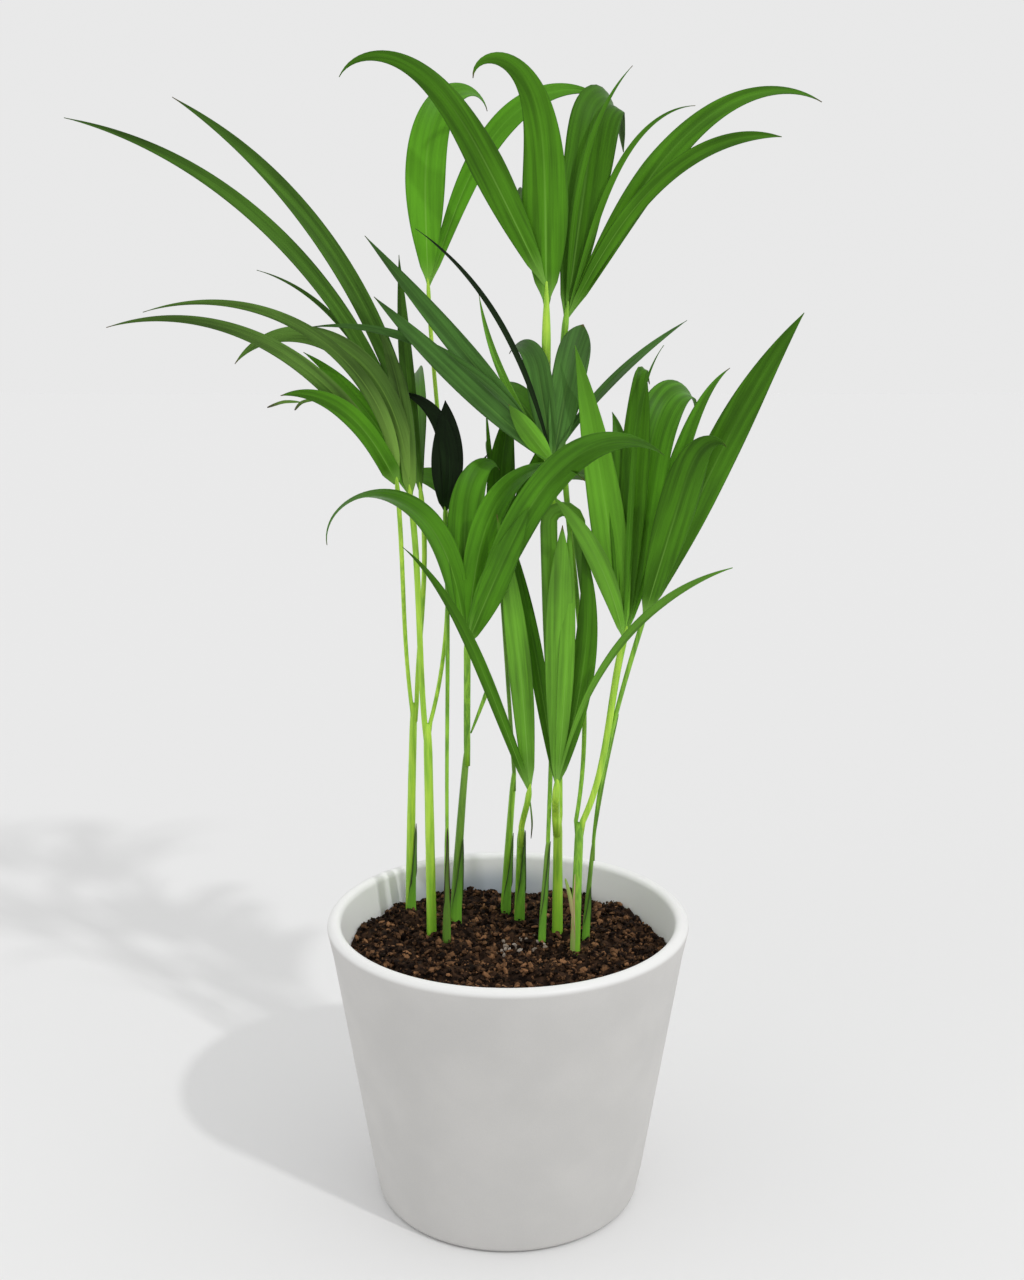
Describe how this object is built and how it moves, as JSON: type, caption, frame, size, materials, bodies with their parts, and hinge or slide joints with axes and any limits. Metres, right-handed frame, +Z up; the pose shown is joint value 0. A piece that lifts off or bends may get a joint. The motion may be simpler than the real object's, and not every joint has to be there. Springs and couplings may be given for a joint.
{
  "type": "potted palm",
  "caption": "Young feather-leaved palm in a round tapered pot: slim upright stems, thin stalks and arching fronds of long pointed leaflets over the filled pot.",
  "frame": {"origin": "the middle of the pot's flat underside", "axes": "+Z up along the pot's axis, +X to the right and +Y away from the viewer in the front view"},
  "size_m": [0.2869, 0.1777, 0.4327],
  "materials": {
    "ceramic": "matte",
    "soil": "matte",
    "stem": "satin",
    "stalk": "satin",
    "leaf": "satin",
    "dark_leaf": "satin"
  },
  "bodies": {
    "root": {"pot": "ceramic", "soil": "soil", "stem_left_back": "stem", "stem_left_front": "stem", "stem_middle_left_thin": "stem", "stem_middle_left": "stem", "stem_middle_back": "stem", "stem_middle": "stem", "stem_right_thin": "stem", "stem_right_bright": "stem", "stem_right_front": "stem", "stem_right_back": "stem", "stalk_left_tall": "stalk", "frond_left_tall": "leaf", "stalk_top": "stalk", "frond_top": "leaf", "stalk_right_tall": "stalk", "frond_right_tall": "leaf", "stalk_left_upper": "stalk", "frond_left_upper": "leaf", "stalk_left_middle": "stalk", "frond_left_middle": "leaf", "stalk_left_lower": "stalk", "frond_left_lower": "leaf", "stalk_centre_high": "stalk", "frond_centre_high": "leaf", "stalk_behind_left": "stalk", "frond_behind_left": "dark_leaf", "stalk_inner": "stalk", "frond_inner": "leaf", "stalk_right_upright": "stalk", "frond_right_upright": "leaf", "stalk_right_long": "stalk", "frond_right_long": "leaf", "stalk_front_left": "stalk", "frond_front_left": "leaf", "stalk_front_low": "stalk", "frond_front_low": "leaf", "stalk_front_right": "stalk", "frond_front_right": "leaf"}
  },
  "joints": []
}
